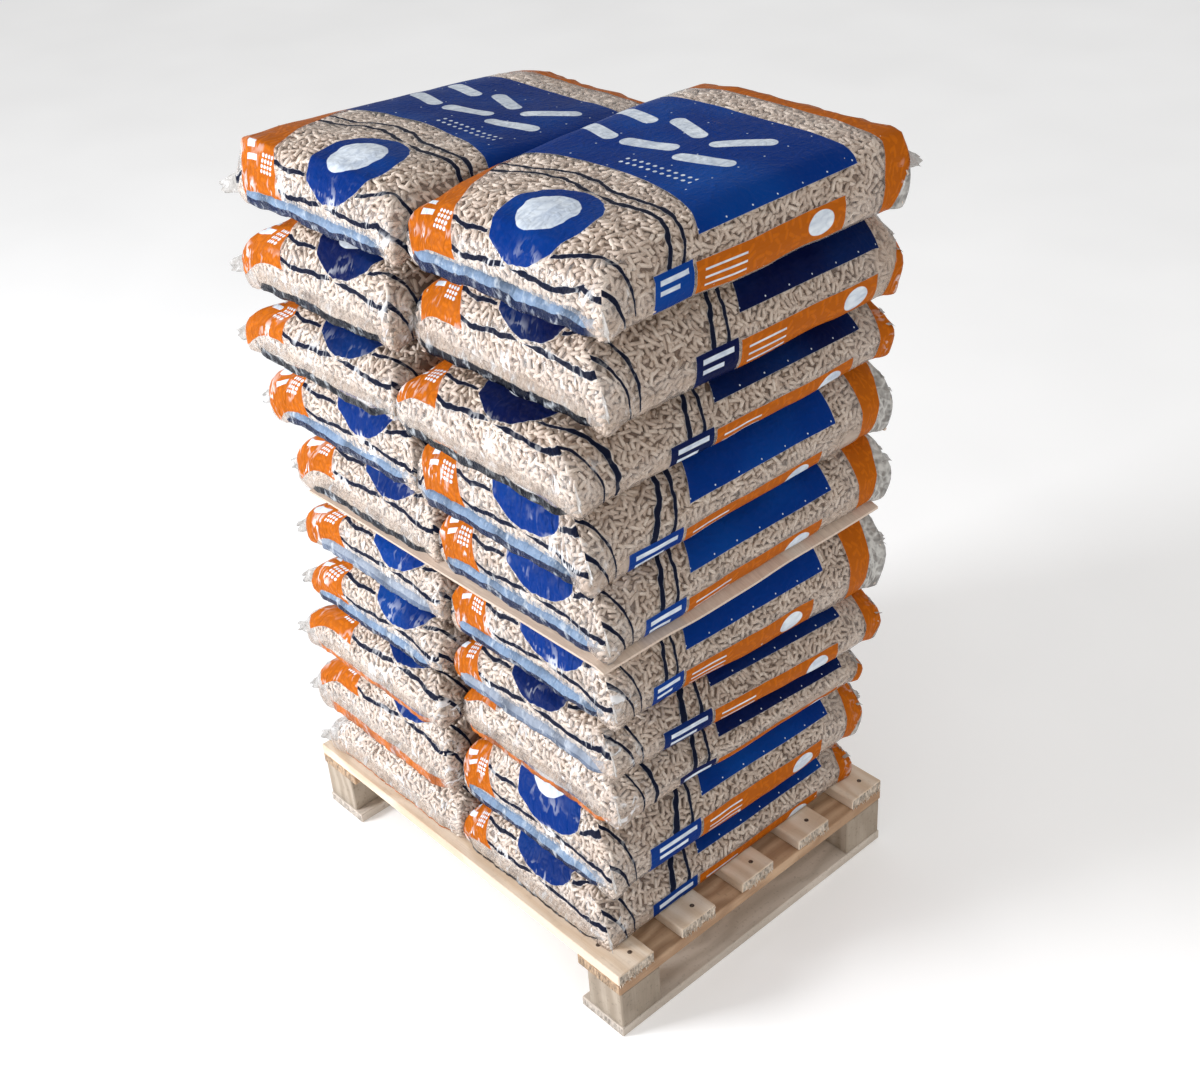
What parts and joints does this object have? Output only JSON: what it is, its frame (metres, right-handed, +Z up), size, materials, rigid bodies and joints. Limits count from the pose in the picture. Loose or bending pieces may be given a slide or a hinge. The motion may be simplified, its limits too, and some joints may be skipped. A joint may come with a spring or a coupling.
{
  "type": "pallet of sacks",
  "caption": "Light wooden pallet carrying a tall stack of filled film sacks of fuel pellets, laid side by side in layers, with a thin board sheet between the middle layers.",
  "frame": {"origin": "on the floor, at the centre of the bounding box's underside", "axes": "+Z up; +X along the pallet's long side, across the two columns of sacks; -Y is the front, the end of the sacks that faces the picture's left"},
  "size_m": [0.8, 0.6596, 1.284],
  "materials": {
    "pale_wood": "sawn",
    "brown_wood": "sawn, damp",
    "grey_wood": "sawn, weathered",
    "printed_film": "clear printed film over pellets",
    "brown_board": "paper board"
  },
  "bodies": {
    "root": {"block_front_left": "grey_wood", "block_front_right": "grey_wood", "block_rear_left": "grey_wood", "block_rear_right": "grey_wood", "board_sheet": "brown_board", "deck_board_1": "pale_wood", "deck_board_2": "pale_wood", "deck_board_3": "pale_wood", "deck_board_4": "pale_wood", "deck_board_5": "pale_wood", "runner_left": "grey_wood", "runner_right": "grey_wood", "sack_01_left": "printed_film", "sack_01_right": "printed_film", "sack_02_left": "printed_film", "sack_02_right": "printed_film", "sack_03_left": "printed_film", "sack_03_right": "printed_film", "sack_04_left": "printed_film", "sack_04_right": "printed_film", "sack_05_left": "printed_film", "sack_05_right": "printed_film", "sack_06_left": "printed_film", "sack_06_right": "printed_film", "sack_07_left": "printed_film", "sack_07_right": "printed_film", "sack_08_left": "printed_film", "sack_08_right": "printed_film", "sack_09_left": "printed_film", "sack_09_right": "printed_film", "sack_10_left": "printed_film", "sack_10_right": "printed_film", "stringer_left": "brown_wood", "stringer_right": "brown_wood"}
  },
  "joints": []
}
